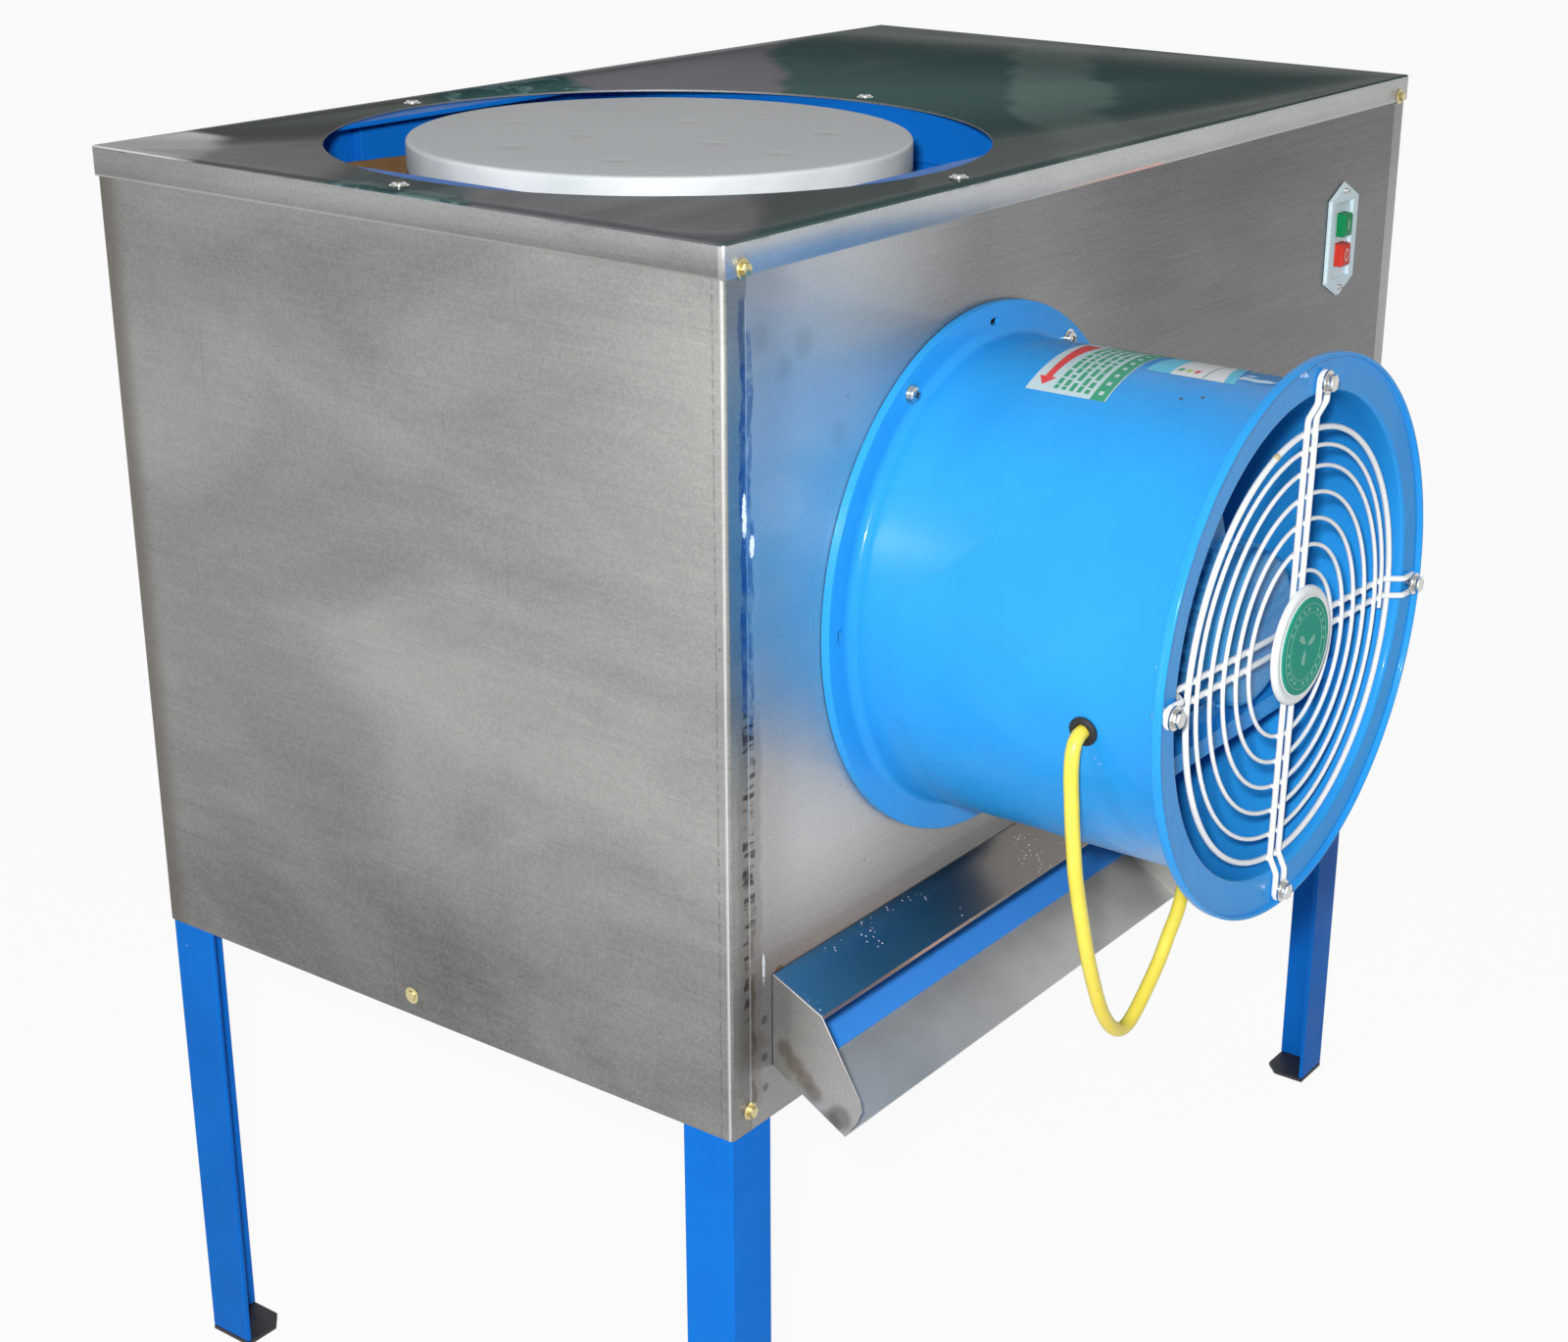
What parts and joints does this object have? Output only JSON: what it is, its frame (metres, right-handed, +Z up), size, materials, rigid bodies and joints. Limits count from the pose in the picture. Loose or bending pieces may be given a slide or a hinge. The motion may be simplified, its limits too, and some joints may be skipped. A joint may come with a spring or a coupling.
{
  "type": "garlic peeling machine",
  "caption": "Floor-standing garlic peeler: steel cabinet on legs, turning disc in the lid, axial fan, discharge chute and push-button switch.",
  "frame": {"origin": "on the floor, in the middle of the box that the machine fills, the fan included", "axes": "+Z up; the fan, chute and switch face -Y; the peeling disc is at the -X end"},
  "size_m": [1.02, 0.8728, 1.0495],
  "materials": {
    "stainless_sheet": "satin",
    "frame_paint": "semi-gloss blue",
    "fan_paint": "gloss blue",
    "foot_paint": "matt black",
    "white_disc": "satin white",
    "brown_board": "matt brown",
    "machined_steel": "machined",
    "cast_parts": "cast",
    "belt_rubber": "matt",
    "grommet_rubber": "matt",
    "cord_jacket": "satin yellow",
    "grille_coating": "gloss white",
    "badge_green": "gloss green",
    "zinc_bolts": "bright zinc",
    "switch_white": "gloss white",
    "switch_black": "matt black",
    "start_green": "gloss green",
    "stop_red": "gloss red"
  },
  "bodies": {
    "machine": {"lid": "stainless_sheet", "left_panel": "stainless_sheet", "right_panel": "stainless_sheet", "front_panel": "stainless_sheet", "rear_panel": "stainless_sheet", "discharge_chute": "stainless_sheet", "leg_front_left": "frame_paint", "leg_front_right": "frame_paint", "leg_rear_left": "frame_paint", "leg_rear_right": "frame_paint", "top_frame": "frame_paint", "bottom_frame": "frame_paint", "cross_rail": "frame_paint", "upper_beam": "frame_paint", "lower_beam": "frame_paint", "motor_bridge": "frame_paint", "partition": "frame_paint", "chamber_wall": "frame_paint", "slide": "frame_paint", "shaft_guard": "frame_paint", "drive_motor": "frame_paint", "fan_housing": "fan_paint", "fan_motor": "fan_paint", "motor_bracket": "fan_paint", "foot_front_left": "foot_paint", "foot_front_right": "foot_paint", "foot_rear_left": "foot_paint", "foot_rear_right": "foot_paint", "rear_liner": "brown_board", "upper_bearing": "cast_parts", "lower_bearing": "cast_parts", "v_belt": "belt_rubber", "fan_grommet": "grommet_rubber", "entry_grommet": "grommet_rubber", "fan_cord": "cord_jacket", "fan_grille": "grille_coating", "grille_cap": "grille_coating", "grille_badge": "badge_green", "grille_bolt_top": "zinc_bolts", "grille_bolt_bottom": "zinc_bolts", "grille_bolt_left": "zinc_bolts", "grille_bolt_right": "zinc_bolts", "switch_cover": "switch_white", "switch_body": "switch_black"},
    "disc_rotor": {"peeling_disc": "white_disc", "disc_board": "brown_board", "disc_spider": "machined_steel", "main_shaft": "machined_steel", "driven_pulley": "cast_parts"},
    "drive_rotor": {"drive_shaft": "machined_steel", "drive_pulley": "cast_parts"},
    "fan_rotor": {"fan_shaft": "machined_steel", "fan_impeller": "fan_paint"},
    "start_button": {"start_button": "start_green"},
    "stop_button": {"stop_button": "stop_red"}
  },
  "joints": [
    {"name": "disc_spin", "type": "hinge", "parent": "machine", "child": "disc_rotor", "pos_m": [-0.21, 0.1364, 0.9], "axis": [0, 0, 1], "continuous": true},
    {"name": "motor_spin", "type": "hinge", "parent": "machine", "child": "drive_rotor", "pos_m": [0.3, 0.1364, 0.5], "axis": [0, 0, 1], "continuous": true},
    {"name": "fan_spin", "type": "hinge", "parent": "machine", "child": "fan_rotor", "pos_m": [-0.205, -0.2218, 0.7567], "axis": [0, -1, 0], "continuous": true},
    {"name": "start_press", "type": "slide", "parent": "machine", "child": "start_button", "axis": [0, 1, 0], "range_m": [0, 0.004], "stiffness_N_per_m": 400},
    {"name": "stop_press", "type": "slide", "parent": "machine", "child": "stop_button", "axis": [0, 1, 0], "range_m": [0, 0.004], "stiffness_N_per_m": 400}
  ],
  "couplings": [
    {"joint": "motor_spin", "follows": "disc_spin", "ratio": 2.5}
  ]
}
